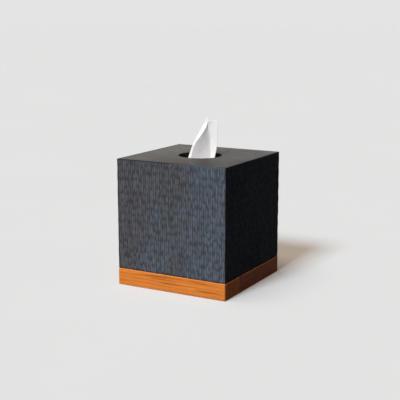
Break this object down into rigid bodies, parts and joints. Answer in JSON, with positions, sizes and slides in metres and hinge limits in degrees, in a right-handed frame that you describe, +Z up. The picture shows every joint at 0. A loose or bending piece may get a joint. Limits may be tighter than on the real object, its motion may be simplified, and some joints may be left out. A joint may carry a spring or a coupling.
{
  "type": "tissue box",
  "caption": "Cube tissue box: a black carved wooden cover with a round hole in its top stands on a teak base, over a carton of tissues with one tissue drawn out.",
  "frame": {"origin": "centre of the base board's underside, on the surface that the box stands on", "axes": "+Z up; the front looks along -Y and the right side along +X"},
  "size_m": [0.1504, 0.1504, 0.207],
  "materials": {
    "teak": "satin",
    "strip_wood": "matte",
    "black_carved_wood": "satin",
    "black_smooth_wood": "satin",
    "carton_card": "matte",
    "clear_film": "gloss",
    "tissue_paper": "matte"
  },
  "bodies": {
    "root": {"base_stave_front": "teak", "base_stave_mid_front": "teak", "base_stave_mid_back": "teak", "base_stave_back": "teak", "strip_front": "strip_wood", "strip_right": "strip_wood", "strip_back": "strip_wood", "strip_left": "strip_wood", "front_panel": "black_carved_wood", "right_panel": "black_carved_wood", "back_panel": "black_carved_wood", "left_panel": "black_carved_wood", "top_panel": "black_smooth_wood", "tissue_carton": "carton_card", "carton_film": "clear_film", "tissue_stack": "tissue_paper", "tissue": "tissue_paper"}
  },
  "joints": []
}
